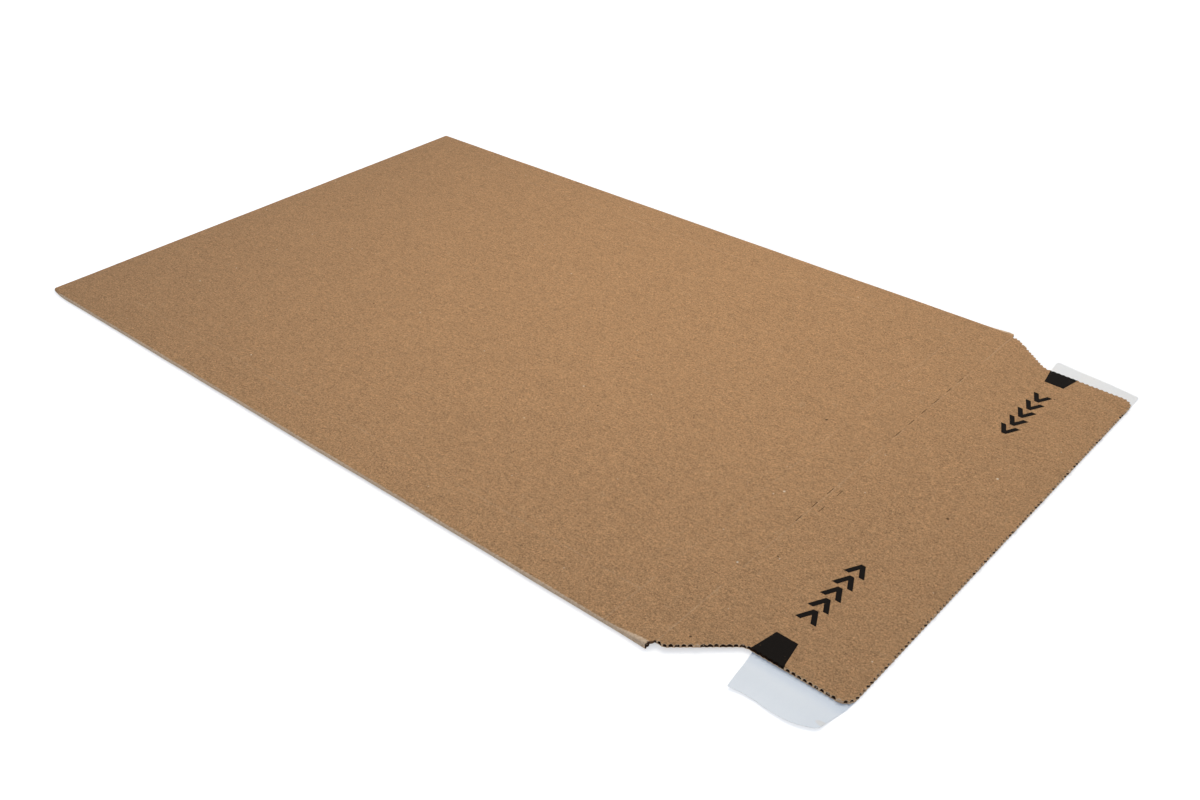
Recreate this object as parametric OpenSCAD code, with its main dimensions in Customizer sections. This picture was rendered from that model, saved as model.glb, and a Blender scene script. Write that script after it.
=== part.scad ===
// Flat cardboard envelope with an open closing flap, lying on its back board.
// It is folded from one blank of fine corrugated board: a front board, a back
// board, two folded long edges and a folded closed end. The flap carries a tear
// tape, a strip of adhesive and the release liner that covers it.
// X runs from the closed end to the flap, Y from the near long edge to the far
// one, Z up. The origin is under the middle of the whole lying envelope.

/* [Body] */
// Length from the closed end to the flap's crease
body_l = 355; // [220:5:450]
// Width over the two folded long edges
body_w = 248; // [232:1:360]
// Slit between the front and the back board
pocket_gap = 0.2; // [0.1:0.1:3]
// Outer radius of the folded edges
fold_r = 1.1; // [0.3:0.1:1.2]
// How far the back board's mouth edge stops short of the flap's crease
mouth_setback = 1.5; // [0.5:0.5:15]
// Length of the slant cut at each corner of the mouth
mouth_cut_l = 1.6; // [0.5:0.1:6]
// Width of the slant cut at each corner of the mouth
mouth_cut_w = 3.3; // [1:0.1:8]
// Length of the crushed slant at the closed end's near corner
worn_corner_l = 16; // [4:1:40]
// Width of the crushed slant at the closed end's near corner
worn_corner_w = 1.8; // [0.2:0.1:3]
// Width of the glue lap that closes the back board
lap_w = 19; // [10:1:40]
// Width of the butt line where the back board meets its glue lap
lap_line_w = 0.5; // [0.2:0.1:1]

/* [Board] */
// Thickness of the corrugated board
board_t = 1.2; // [1.2:0.1:2]
// Thickness of each face paper and of the fluted paper
paper_t = 0.2; // [0.15:0.05:0.25]
// Distance from one flute to the next
flute_pitch = 3.2; // [2.8:0.1:4.5]
// Length of flute that is pressed flat beside a crease or a fold
flute_crush = 2.6; // [1:0.1:5]
// Distance from tooth to tooth on the die-cut edges
tooth_pitch = 2; // [1.6:0.1:4]
// Depth of the teeth
tooth_depth = 0.4; // [0.2:0.05:0.6]

/* [Creases] */
// Distance from the long edges to the creases that let the body swell
side_crease_in = 18.5; // [10:0.5:50]
// Distance from the flap's crease to the crease across the front board
cross_crease_in = 18.5; // [10:0.5:50]
// Where the side creases begin, measured from the closed end
side_crease_start = 42; // [20:1:120]
// Width of a pressed crease line
crease_w = 1; // [0.4:0.1:2]
// Depth of a pressed crease line
crease_depth = 0.12; // [0.05:0.01:0.15]
// Distance between the two creases that the flap folds at
spine_w = 3; // [2:0.1:8]
// Length of a perforation cut
perf_l = 4; // [2:0.5:6]
// Distance from one perforation cut to the next
perf_pitch = 10; // [8:0.5:20]
// Width of a perforation cut
perf_w = 0.4; // [0.2:0.1:0.8]

/* [Closing flap] */
// Length of the flap from its crease to its free edge
flap_l = 59; // [56:1:90]
// Width of the flap
flap_w = 210.6; // [190:0.2:220]
// How far the flap sits off the middle, towards the far edge
flap_shift = 1.2; // [-2:0.1:2]
// Step in from the long edge to the root of the flap
root_inset = 3.3; // [1:0.1:5]
// Straight run of the flap's edge before the shoulder
root_run = 3.2; // [1:0.1:5]
// Length of the slanted shoulder
shoulder_l = 18.5; // [8:0.5:19]
// Radius that eases both ends of the shoulder
shoulder_r = 5; // [1:0.5:6]
// Radius of the flap's two free corners
corner_r = 4.5; // [2:0.5:12]
// Clearance between the body and the flap along the crease
crease_gap = 0.3; // [0.1:0.05:0.6]

/* [Closing strip] */
// Width of the release liner
liner_w = 35; // [28:0.5:35]
// How far the liner's long edge stays inside the flap's free edge
liner_in = 0.3; // [0.1:0.1:3]
// How far the liner's pull tab sticks out at the near side
near_tab_l = 14.9; // [5:0.1:18]
// How far the liner sticks out at the far side
far_tab_l = 9.6; // [4:0.1:16]
// How much each side of the near pull tab tapers
tab_taper = 2.7; // [0:0.1:6]
// How much the liner's far end is cut askew
far_end_skew = 3.7; // [0:0.1:3.8]
// Thickness of the liner paper
liner_t = 0.1; // [0.06:0.01:0.2]
// Width of the adhesive strip
adhesive_w = 16; // [8:0.5:17]
// Distance from the liner's free edge to the adhesive
adhesive_in = 5; // [2:0.5:6]
// Distance from the flap's side edges to the ends of the adhesive
adhesive_end_in = 2; // [0.5:0.5:10]
// Thickness of the adhesive
adhesive_t = 0.1; // [0.05:0.01:0.2]
// Distance from the flap's crease to the middle of the tear tape
tape_at = 29.8; // [28.5:0.1:31]
// Width of the tear tape
tape_w = 4; // [3:0.5:6]
// Thickness of the tear tape
tape_t = 0.05; // [0.03:0.01:0.05]

/* [Print] */
// Thickness given to the printed ink
ink_t = 0.04; // [0.02:0.01:0.1]
// Width of a tear mark at its inner end
mark_in_w = 8; // [4:0.5:12]
// How much wider a tear mark is for each millimetre towards the flap's side
mark_flare = 0.37; // [0:0.01:0.6]
// Length of a tear mark from the flap's side edge
mark_l = 10.4; // [5:0.1:16]
// Width of an arrow
arrow_w = 7.9; // [6:0.1:12]
// Length of an arrow from its feet to its tip
arrow_l = 6.2; // [4.5:0.1:6.5]
// Width of an arrow's foot
arrow_foot = 2.1; // [1:0.1:2.5]
// Width of an arrow's blunt tip
arrow_tip = 1.7; // [0.5:0.1:2.5]
// Distance from one arrow to the next
arrow_pitch = 7.1; // [6.6:0.1:9]
// Number of arrows at each side
arrow_count = 5; // [1:1:7]
// Distance from the flap's side edge to the first arrow's feet
arrow_start = 20.3; // [17:0.1:30]
// How far the print sits off the flap's middle, towards the far side
print_shift = 0.7; // [-1.5:0.1:1.5]

/* [Hidden] */
kraft = [0.66, 0.51, 0.36];
ink = [0.1, 0.09, 0.08];
cut = 1;
arc_steps = 6;

// Heights: the back board lies on the surface, then the slit, then the front board
front_z = board_t + pocket_gap;
total_t = front_z + board_t;
edge_r = min(fold_r, total_t / 2 - 0.05);

// Flap edges: the flap is narrower than the body and sits a little off the middle
flap_near = flap_shift - flap_w / 2;
flap_far = flap_shift + flap_w / 2;
root_y = body_w / 2 - root_inset;
shoulder_end = root_run + shoulder_l;

// Closing strip under the flap
liner_far_u = flap_l - liner_in;
liner_near_u = liner_far_u - liner_w;
adhesive_far_u = liner_far_u - adhesive_in;
strip_t = adhesive_t + liner_t;

// The flap droops from its crease until the liner's free edge meets the surface
droop = asin(front_z / norm([liner_far_u, strip_t])) - atan(strip_t / liner_far_u);
flap_reach = flap_l * cos(droop) + board_t * sin(droop);
mid_x = (body_l + flap_reach) / 2;

// Points of an arc that rounds the corner b between a and c with radius r
function unit(v) = v / norm(v);
function rounded(a, b, c, r) =
    let(u = unit(a - b), v = unit(c - b), half = acos(u * v) / 2, m = b + unit(u + v) * r / sin(half))
    let(p = b + u * r / tan(half), q = b + v * r / tan(half))
    let(a0 = atan2(p[1] - m[1], p[0] - m[0]), a1 = atan2(q[1] - m[1], q[0] - m[0]))
    let(sweep = (a1 - a0 + 540) % 360 - 180)
    [for (i = [0 : arc_steps]) let(t = a0 + sweep * i / arc_steps) m + r * [cos(t), sin(t)]];

// Lengths along a path, and the point and left-hand normal at a length s
function runs(path) = [for (i = 0, s = 0; i < len(path);
    s = s + (i < len(path) - 1 ? norm(path[i + 1] - path[i]) : 0), i = i + 1) s];
function leg(run, s) = max([for (i = [0 : len(run) - 2]) run[i] <= s ? i : 0]);
function on_path(path, run, s, side) =
    let(i = leg(run, s), d = unit(path[i + 1] - path[i]))
    path[i] + d * (s - run[i]) + side * [-d[1], d[0]];

// The same path with the teeth of a die-cut edge, whose notches go to the left
function toothed(path) =
    let(run = runs(path), total = run[len(run) - 1], n = max(1, round(total / tooth_pitch)))
    [for (i = [0 : 2 * n]) on_path(path, run, total * i / (2 * n), i % 2 == 1 ? tooth_depth : 0)];

// Smooth outline of the flap, from the near end of its root to the far end
flap_root_near = [crease_gap, -root_y];
flap_root_far = [crease_gap, root_y];
near_corners = [[root_run, -root_y], [shoulder_end, flap_near], [flap_l, flap_near]];
far_corners = [[flap_l, flap_far], [shoulder_end, flap_far], [root_run, root_y]];
flap_path = concat(
    [flap_root_near],
    rounded(flap_root_near, near_corners[0], near_corners[1], shoulder_r / 2),
    rounded(near_corners[0], near_corners[1], near_corners[2], shoulder_r),
    rounded(near_corners[1], near_corners[2], far_corners[0], corner_r),
    rounded(near_corners[2], far_corners[0], far_corners[1], corner_r),
    rounded(far_corners[0], far_corners[1], far_corners[2], shoulder_r),
    rounded(far_corners[1], far_corners[2], flap_root_far, shoulder_r),
    [flap_root_far]);

// Section of one hollow of the fluting: upright under the front face paper, or
// turned over above the back one. The fluted paper runs between the two kinds.
function hollow(y, upper) =
    let(q = flute_pitch / 4, wide = q + 0.25, slim = q * 0.45)
    let(low = paper_t, high = board_t - paper_t)
    upper ? [[y - slim, low + paper_t], [y + slim, low + paper_t], [y + wide, high], [y - wide, high]]
          : [[y - wide, low], [y + wide, low], [y + slim, high - paper_t], [y - slim, high - paper_t]];

// Hollows of a board between two sides and two ends, standing on z = 0
module fluting(y0, y1, x0, x1) {
    n = floor((y1 - y0) / flute_pitch - 0.5);
    first = (y0 + y1 - (n - 0.5) * flute_pitch) / 2;
    translate([x0, 0, 0])
        rotate([90, 0, 90])
            linear_extrude(x1 - x0)
                for (i = [0 : n - 1]) {
                    polygon(hollow(first + i * flute_pitch, true));
                    polygon(hollow(first + (i + 0.5) * flute_pitch, false));
                }
}

// A pressed line with slanted sides, from the point a to the point b, in a face at z = 0
module pressed_line(a, b) {
    d = b - a;
    translate([a[0], a[1], 0])
        rotate([0, 0, atan2(d[1], d[0])])
            rotate([90, 0, 90])
                linear_extrude(norm(d))
                    polygon([[-crease_w / 2, 0.01], [-crease_w / 4, -crease_depth],
                             [crease_w / 4, -crease_depth], [crease_w / 2, 0.01]]);
}

// A row of perforation cuts through the board, along Y at x
module perforation(x, y0, y1) {
    n = floor((y1 - y0 - perf_l) / perf_pitch);
    for (i = [0 : n])
        translate([x, (y0 + y1) / 2 + (i - n / 2) * perf_pitch, board_t / 2])
            cube([perf_w, perf_l, board_t + cut], center = true);
}

// Places a piece of the flap: x from the crease, z from the inner face of its board
module on_flap() {
    translate([body_l - mid_x, 0, front_z])
        rotate([0, droop, 0])
            children();
}

// Cross-section of the folded body, drawn across Y with Z up
module body_section() {
    r = edge_r;
    translate([-body_w / 2 + r, r])
        square([body_w - 2 * r, total_t - 2 * r]);
    for (y = [-1, 1], z = [r, total_t - r])
        translate([y * (body_w / 2 - r), z])
            circle(r, $fn = 32);
    translate([-body_w / 2 + r, 0])
        square([body_w - 2 * r, total_t]);
    translate([-body_w / 2, r])
        square([body_w, total_t - 2 * r]);
}

// Plan of the body: the slant cuts at the mouth and the worn corner at the closed end
module body_plan() {
    w = body_w / 2;
    polygon([[0, -w + worn_corner_w], [worn_corner_l, -w], [body_l - mouth_cut_l, -w],
             [body_l, -w + mouth_cut_w], [body_l, w - mouth_cut_w], [body_l - mouth_cut_l, w],
             [0, w]]);
}

// Space in front of the back board's toothed mouth edge
module mouth_space() {
    w = body_w / 2;
    edge = toothed([[body_l - mouth_setback, w], [body_l - mouth_setback, -w]]);
    translate([0, 0, -cut])
        linear_extrude(front_z + cut)
            polygon(concat([for (p = edge) [2 * (body_l - mouth_setback) - p[0], p[1]]],
                           [[body_l + cut, -w - cut], [body_l + cut, w + cut],
                            [body_l - mouth_setback, w + cut]]));
}

// Front board, back board, folded long edges and closed end, from one blank
module sleeve() color(kraft) {
    inner_w = body_w / 2 - board_t;
    translate([-mid_x, 0, 0])
        difference() {
            intersection() {
                rotate([90, 0, 90])
                    linear_extrude(body_l)
                        body_section();
                linear_extrude(total_t)
                    body_plan();
            }
            translate([board_t, -inner_w, board_t])
                cube([body_l, 2 * inner_w, pocket_gap]);
            mouth_space();
            fluting(-inner_w, inner_w, flute_crush, body_l + cut);
            translate([0, 0, front_z])
                fluting(-inner_w, inner_w, flute_crush, body_l - flute_crush);
            translate([0, 0, total_t]) {
                for (y = [-1, 1] * (body_w / 2 - side_crease_in))
                    pressed_line([side_crease_start, y], [body_l - cross_crease_in, y]);
                pressed_line([body_l - cross_crease_in, -inner_w], [body_l - cross_crease_in, inner_w]);
            }
            translate([-cut, body_w / 2 - lap_w, -cut])
                cube([body_l + 2 * cut, lap_line_w, cut + paper_t / 2]);
        }
}

// Flap board with its die-cut teeth, its second crease and its perforation
module closing_flap() color(kraft) on_flap()
    difference() {
        linear_extrude(board_t)
            polygon(toothed(flap_path));
        fluting(flap_near, flap_far, spine_w + flute_crush, flap_l + cut);
        fluting(-root_y, flap_near, spine_w + flute_crush, shoulder_end + cut);
        fluting(flap_far, root_y, spine_w + flute_crush, shoulder_end + cut);
        translate([spine_w, 0, board_t])
            pressed_line([0, -root_y - cut], [0, root_y + cut]);
        perforation(spine_w, -root_y, root_y);
    }

// Film tape across the inside of the flap, which the tear marks begin
module tear_tape() color([0.82, 0.78, 0.68]) on_flap()
    translate([tape_at - tape_w / 2, flap_near + tooth_depth, -tape_t])
        cube([tape_w, flap_w - 2 * tooth_depth, tape_t]);

// Adhesive between the flap's inner face and the liner
module adhesive_strip() color([0.93, 0.88, 0.7]) on_flap()
    translate([adhesive_far_u - adhesive_w, flap_near + adhesive_end_in, -adhesive_t])
        cube([adhesive_w, flap_w - 2 * adhesive_end_in, adhesive_t]);

// Release liner: it covers the adhesive and sticks out at both sides as pull tabs
module release_liner() color([0.86, 0.89, 0.92]) on_flap()
    translate([0, 0, -strip_t])
        linear_extrude(liner_t)
            polygon([[liner_near_u, flap_near], [liner_near_u + tab_taper, flap_near - near_tab_l],
                     [liner_far_u - liner_w / 4, flap_near - near_tab_l],
                     [liner_far_u - tab_taper, flap_near - near_tab_l + tab_taper],
                     [liner_far_u, flap_near],
                     [liner_far_u, flap_far + far_tab_l - far_end_skew],
                     [liner_near_u, flap_far + far_tab_l]]);

// Printed tear mark that runs off the flap's side: side is -1 near, 1 far
module tear_mark(side) {
    edge = side < 0 ? flap_near : flap_far;
    inner = edge - side * mark_l + print_shift;
    outer = inner + side * mark_l * 2;
    half_in = mark_in_w / 2;
    half_out = half_in + mark_flare * mark_l;
    on_flap()
        translate([0, 0, board_t])
            linear_extrude(ink_t)
                intersection() {
                    polygon(toothed(flap_path));
                    polygon([[tape_at - half_in, inner], [tape_at + half_in, inner],
                             [tape_at + half_out, outer], [tape_at - half_out, outer]]);
                }
}

// One arrow with its feet on y = 0 and its tip towards +Y
module arrow() {
    w = arrow_w / 2;
    tip = arrow_tip / 2;
    slope = arrow_l / (w - tip);
    polygon([[-w, 0], [arrow_foot - w, 0], [0, slope * (w - arrow_foot)], [w - arrow_foot, 0],
             [w, 0], [tip, arrow_l], [-tip, arrow_l]]);
}

// Printed arrows that point from the flap's side to its middle
module arrows(side) {
    edge = side < 0 ? flap_near : flap_far;
    on_flap()
        translate([tape_at, edge + print_shift, board_t])
            linear_extrude(ink_t)
                for (i = [0 : arrow_count - 1])
                    translate([0, -side * (arrow_start + i * arrow_pitch)])
                        mirror([0, side > 0 ? 1 : 0])
                            arrow();
}

module near_tear_mark() color(ink) tear_mark(-1);
module far_tear_mark() color(ink) tear_mark(1);
module near_arrows() color(ink) arrows(-1);
module far_arrows() color(ink) arrows(1);

sleeve();
closing_flap();
tear_tape();
adhesive_strip();
release_liner();
near_tear_mark();
far_tear_mark();
near_arrows();
far_arrows();
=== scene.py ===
"""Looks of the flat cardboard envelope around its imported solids."""
import math
import random

import bmesh
import bpy
from bpy.props import FloatProperty, FloatVectorProperty, IntProperty, PointerProperty
from mathutils import Matrix, Vector, noise


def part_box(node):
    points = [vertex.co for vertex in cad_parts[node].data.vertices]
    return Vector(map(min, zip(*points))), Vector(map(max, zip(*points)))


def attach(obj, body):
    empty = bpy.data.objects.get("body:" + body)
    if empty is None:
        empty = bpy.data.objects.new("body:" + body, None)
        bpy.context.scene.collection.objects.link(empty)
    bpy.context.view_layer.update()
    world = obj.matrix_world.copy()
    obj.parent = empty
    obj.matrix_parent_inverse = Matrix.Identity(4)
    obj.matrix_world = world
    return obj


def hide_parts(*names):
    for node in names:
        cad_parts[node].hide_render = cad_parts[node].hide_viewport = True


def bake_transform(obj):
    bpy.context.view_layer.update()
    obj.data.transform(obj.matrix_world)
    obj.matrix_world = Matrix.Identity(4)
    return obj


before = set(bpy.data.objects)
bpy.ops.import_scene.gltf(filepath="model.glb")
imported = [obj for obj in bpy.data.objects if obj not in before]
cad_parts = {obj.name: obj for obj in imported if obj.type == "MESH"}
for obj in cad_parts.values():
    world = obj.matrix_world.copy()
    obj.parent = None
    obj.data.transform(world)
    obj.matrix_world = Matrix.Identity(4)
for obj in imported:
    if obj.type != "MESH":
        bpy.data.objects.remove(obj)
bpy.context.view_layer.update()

bl_info = {
    "name": "Cardboard Envelope",
    "version": (1, 0, 0),
    "blender": (4, 5, 0),
    "location": "3D View > Sidebar > Envelope",
    "description": "Folded corrugated board, closing flap, release liner and print of an envelope",
    "category": "Object",
}

SLEEVE_LOW, SLEEVE_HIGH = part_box("sleeve")
MM = 0.001

# The solids' own sizes in millimetres. U runs from the flap's crease to its free
# edge, Y from the near side to the far one, W up from the inner face of the board.
CREASE_X = SLEEVE_HIGH.x / MM
BODY_L = (SLEEVE_HIGH.x - SLEEVE_LOW.x) / MM
HALF_W = SLEEVE_HIGH.y / MM
TOTAL_T = SLEEVE_HIGH.z / MM
BOARD_T = 1.2
FRONT_Z = TOTAL_T - BOARD_T
MOUTH_U = -1.5
FLAP_L = 59.0
FLAP_NEAR = -104.1
FLAP_FAR = 106.5
ROOT_Y = 120.7
ROOT_RUN = 3.2
SHOULDER_L = 18.5
SHOULDER_R = 5.0
CORNER_R = 4.5
CREASE_GAP = 0.3
SPINE_W = 3.0
STRIP_T = 0.2
LINER_NEAR_U = 23.7
LINER_FAR_U = 58.7
FACE_PAPER_T = 0.22
BACK_PAPER_T = 0.26
FLUTE_PITCH = 3.2
# Half the width of a pressed crease, and how far the folds reach into the mouth's ends
CREASE_HALF = 0.5
PRESSED = [CREASE_HALF * k / 2 for k in range(-2, 3)]
FOLD_REACH = 4
# Depth of the open mouth, the glue lap's edge under the body, depth of a perforation cut
SLIT_DEPTH = 10
LAP_Y = 105.0
LAP_EDGE = 0.25
SLOT_DEPTH = 0.5
# Width of the flap's border that follows the teeth, and its points for each tooth
RIM = 0.9
TOOTH_POINTS = 6
HAIR_SIDES = 5
# The slant cuts at the ends of the mouth, and the perforation cuts in the two creases that
# stand open: place along the flap, first and last middle across it
NEAR_MOUTH_CUT = ((MOUTH_U, -123.9), (-1.0, -123.4), (-0.2, -ROOT_Y))
FAR_MOUTH_CUT = ((0.12, 122.9), (-0.4, 123.6), (MOUTH_U, 123.9))
OPEN_CUTS = ((0.0, -42.0, -22.0), (0.0, 25.3, 75.3), (SPINE_W + 0.2, -32.5, -20.8))
# Bark and bleached fibres that stand out on the face: place along and across, radius
DARK_SPECKS = ((38.8, -8.0, 0.65), (-25.6, 15.8, 0.6), (7.1, -112.3, 0.5), (6.0, -63.4, 0.4))
PALE_SPECKS = ((41.3, 24.5, 0.5), (-12.3, -32.7, 0.5), (-2.4, -74.7, 0.4))
DROOP = math.asin(FRONT_Z / math.hypot(LINER_FAR_U, STRIP_T)) - math.atan(STRIP_T / LINER_FAR_U)


def written(red, green, blue):
    """A colour as it is written for a screen, 0 to 255, in the linear values that sockets take."""
    return [(c / 255 / 12.92) if c <= 10 else ((c / 255 + 0.055) / 1.055) ** 2.4
            for c in (red, green, blue)]


def length(title, words, usual, least, most):
    """A size in the sidebar, given here in millimetres."""
    return FloatProperty(name=title, description=words, default=usual * MM, min=least * MM,
                         max=most * MM, precision=5, unit="LENGTH")


def tint(title, words, *shade):
    """A colour in the sidebar, given here as it is written for a screen."""
    return FloatVectorProperty(name=title, description=words, default=written(*shade), size=3,
                               min=0, max=1, subtype="COLOR")


class EnvelopeSizes(bpy.types.PropertyGroup):
    fold_radius: length("Fold Radius", "How far the folded long edges are rounded", 1.05, 0.3, 1.3)
    fold_crush: length("Fold Crush", "How much thinner the body is at a folded edge", 0.5, 0.0, 0.5)
    edge_wander: length("Edge Wander", "How far the folded edges stray from a straight line",
        0.16, 0.0, 1.0)
    board_swell: length("Board Swell", "How far the front board rises and sinks over its face",
        0.14, 0.0, 1.0)
    worn_corner_length: length("Worn Corner Length", "Length of the crushed slant at the near corner",
        9, 1, 40)
    worn_corner_width: length("Worn Corner Width", "Width of the crushed slant at the near corner",
        1.4, 0.0, 3)
    crease_depth: length("Crease Depth", "Depth of the pressed crease lines", 0.09, 0.0, 0.2)
    crease_inset: length("Crease Inset", "Distance from an edge to the crease beside it", 18.5, 5, 50)
    tooth_pitch: length("Tooth Pitch", "Distance from tooth to tooth on the cut edges", 2, 1, 4)
    tooth_depth: length("Tooth Depth", "Depth of the notches in the face papers", 0.58, 0.1, 0.8)
    pocket_depth: length("Pocket Depth", "Depth of the open pockets between the face papers", 1.0, 0.2, 2)
    slot_length: length("Slot Length", "Length of a perforation cut in the crease", 4, 2, 6)
    slot_pitch: length("Slot Pitch", "Distance from one perforation cut to the next", 10, 8, 20)
    slot_width: length("Slot Width", "Width of a perforation cut", 0.2, 0.05, 0.5)
    liner_thickness: length("Liner Thickness", "Thickness of the release liner", 0.1, 0.05, 0.3)
    burr_count: IntProperty(
        name="Burr Count", description="Number of frayed fibre tufts on the cut edges",
        default=34, min=0, max=200)


class EnvelopeColours(bpy.types.PropertyGroup):
    kraft_red: tint("Kraft, Redder", "Redder tone of the recycled kraft paper", 181, 139, 98)
    kraft_green: tint("Kraft, Greener", "Greener tone of the recycled kraft paper", 179, 139, 99)
    # Part wear and part painted highlight on the upper half of the folds
    worn: tint("Worn Edge", "Rubbed fibres along the folded edges, painted paler on their upper half as highlight", 226, 199, 168)
    # Painted shade: the hollows in the cut edges, the mouth and the slots take this near-black brown
    core: tint("Hollow Shade", "Painted shade of the hollows between the face papers", 64, 40, 26)
    ink: tint("Ink", "Black flexographic print", 21, 17, 14)
    liner: tint("Liner", "Siliconised release liner", 246, 251, 255)
    adhesive: tint("Adhesive", "Strip of hot melt adhesive", 226, 214, 176)
    tape: tint("Tear Tape", "Clear yellowish film across the flap", 196, 176, 138)
    floor: tint("Floor", "Plain pale floor", 230, 230, 230)


# Shader maths

class Value:
    """A socket of a node tree, which takes part in sums as a number does."""

    def __init__(self, nodes, socket):
        self.nodes = nodes
        self.socket = socket

    def __add__(self, other):
        return self.nodes.math("ADD", self, other)

    def __sub__(self, other):
        return self.nodes.math("SUBTRACT", self, other)

    def __rsub__(self, other):
        return self.nodes.math("SUBTRACT", other, self)

    def __mul__(self, other):
        return self.nodes.math("MULTIPLY", self, other)

    def __truediv__(self, other):
        return self.nodes.math("DIVIDE", self, other)

    def __rtruediv__(self, other):
        return self.nodes.math("DIVIDE", other, self)

    def __abs__(self):
        return self.nodes.math("ABSOLUTE", self)

    __radd__ = __add__
    __rmul__ = __mul__


class Nodes:
    """The node tree of a material or the world, emptied and built anew."""

    def __init__(self, owner):
        owner.use_nodes = True
        self.tree = owner.node_tree
        self.tree.nodes.clear()

    def node(self, kind, settings=None, inlets=None, outlet=0):
        """A node of a kind, with its settings made before its sockets are filled."""
        made = self.tree.nodes.new(kind)
        for name, value in (settings or {}).items():
            setattr(made, name, value)
        for name, value in (inlets or {}).items():
            self.fill(made.inputs[name], value)
        return Value(self, made.outputs[outlet])

    def fill(self, inlet, value):
        if isinstance(value, Value):
            self.tree.links.new(value.socket, inlet)
        elif inlet.type == "RGBA":
            inlet.default_value = (*value[:3], 1)
        else:
            inlet.default_value = value

    def math(self, operation, *values):
        return self.node("ShaderNodeMath", {"operation": operation}, dict(enumerate(values)))

    def mix(self, share, one, other):
        """A colour between two colours."""
        return self.node("ShaderNodeMix", {"data_type": "RGBA"}, {0: share, 6: one, 7: other},
                         outlet=2)

    def close(self, kind, surface):
        """Gives the finished surface to the output node."""
        self.fill(self.tree.nodes.new(kind).inputs["Surface"], surface)


class Finish(Nodes):
    """One procedural material with its shader, built from the piece's own coordinates."""

    def __init__(self, name, **constants):
        self.material = bpy.data.materials.new(name)
        super().__init__(self.material)
        self.shader = self.tree.nodes.new("ShaderNodeBsdfPrincipled")
        for socket, value in constants.items():
            self.shader.inputs[socket.replace("_", " ")].default_value = value
        self.close("ShaderNodeOutputMaterial", Value(self, self.shader.outputs[0]))

    def place(self, scale=(1, 1, 1), turn=0.0, shift=(0, 0, 0)):
        """Object coordinates in millimetres, stretched, turned and shifted."""
        spot = self.node("ShaderNodeTexCoord", outlet="Object")
        spot = self.node("ShaderNodeVectorMath", {"operation": "SCALE"},
                         {"Vector": spot, "Scale": 1 / MM})
        return self.node("ShaderNodeMapping", {"vector_type": "POINT"},
                         {"Vector": spot, "Location": shift, "Rotation": (0, 0, turn),
                          "Scale": scale})

    def axes(self):
        parts = self.place()
        return [self.node("ShaderNodeSeparateXYZ", None, {0: parts}, name) for name in "XYZ"]

    def speckle(self, period, detail=2.0, rough=0.5, **spot):
        """Soft noise about 0, whose patches are a period apart in millimetres."""
        cloud = self.node("ShaderNodeTexNoise", None,
                          {"Vector": self.place(**spot), "Scale": 1 / period, "Detail": detail,
                           "Roughness": rough})
        return cloud - 0.5

    def step(self, value, low, high, least=0.0, most=1.0):
        """An eased step from least to most as the value goes from low to high."""
        return self.node("ShaderNodeMapRange", {"interpolation_type": "SMOOTHSTEP"},
                         {"Value": value, "From Min": low, "From Max": high,
                          "To Min": least, "To Max": most})

    def shade(self, colour, brightness):
        """A colour made brighter or darker as a whole."""
        return self.node("ShaderNodeVectorMath", {"operation": "SCALE"},
                         {"Vector": colour, "Scale": brightness})

    def spots(self, pitch, radius, share, shift):
        """Round spots in millimetres: a share of the cells of a pitch holds one."""
        cells = {"Vector": self.place(shift=shift), "Scale": 1 / pitch, "Randomness": 1.0}
        settings = {"voronoi_dimensions": "2D", "feature": "F1"}
        away = self.node("ShaderNodeTexVoronoi", settings, cells, "Distance")
        kind = self.node("ShaderNodeTexVoronoi", settings, cells, "Color")
        red = self.node("ShaderNodeSeparateColor", None, {0: kind}, "Red")
        green = self.node("ShaderNodeSeparateColor", None, {0: kind}, "Green")
        size = radius * (0.4 + green * 0.9)
        inside = 1 - self.step(away * pitch / size, 0.6, 1.1)
        return inside * self.math("LESS_THAN", red, share)

    def blot(self, x, y, along, across, radius):
        """One round speck at a place of the face, counted from the crease and the middle."""
        away = self.math("POWER", x - (CREASE_X + along), 2) + self.math("POWER", y - across, 2)
        return 1 - self.step(away, (0.6 * radius) ** 2, (1.1 * radius) ** 2)

    def hairs(self, pitch, width, share, **spot):
        """Thin bent hairs: edges of big cells, where a slow cloud leaves them."""
        bend = self.speckle(2.2, 1.0, shift=(3, 8, 1)) * 1.1
        place = self.node("ShaderNodeVectorMath", {"operation": "ADD"},
                          {0: self.place(**spot), 1: bend})
        away = self.node("ShaderNodeTexVoronoi",
                         {"voronoi_dimensions": "3D", "feature": "DISTANCE_TO_EDGE"},
                         {"Vector": place, "Scale": 1 / pitch, "Randomness": 1.0}, "Distance")
        line = 1 - self.step(away * pitch, width * 0.4, width)
        cloud = self.speckle(pitch * 0.7, 1.0, shift=(31, 5, 2))
        return line * self.step(cloud, share, share + 0.06)

    def output(self, colour=None, roughness=None, height=None, depth=1.0):
        """Links the values that vary over the surface to the shader."""
        if colour is not None:
            self.fill(self.shader.inputs["Base Color"], colour)
        if roughness is not None:
            self.fill(self.shader.inputs["Roughness"], roughness)
        if height is not None:
            bump = self.node("ShaderNodeBump", None,
                             {"Height": height, "Distance": depth * MM, "Strength": 1.0})
            self.fill(self.shader.inputs["Normal"], bump)
        return self.material


FINISHES = {}


def finish_of(name):
    """The material of a name, built once."""
    if name not in FINISHES:
        FINISHES[name] = {"kraft": kraft_paper, "core": shaded_fluting, "ink": black_ink,
                          "liner": liner_paper, "adhesive": hot_melt, "tape": film_tape,
                          "burr": frayed_fibre, "cut": cut_paper_painted_light}[name]()
    return FINISHES[name]


def colours():
    return bpy.context.scene.envelope_colours


def sizes():
    return bpy.context.scene.envelope_sizes


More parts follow.
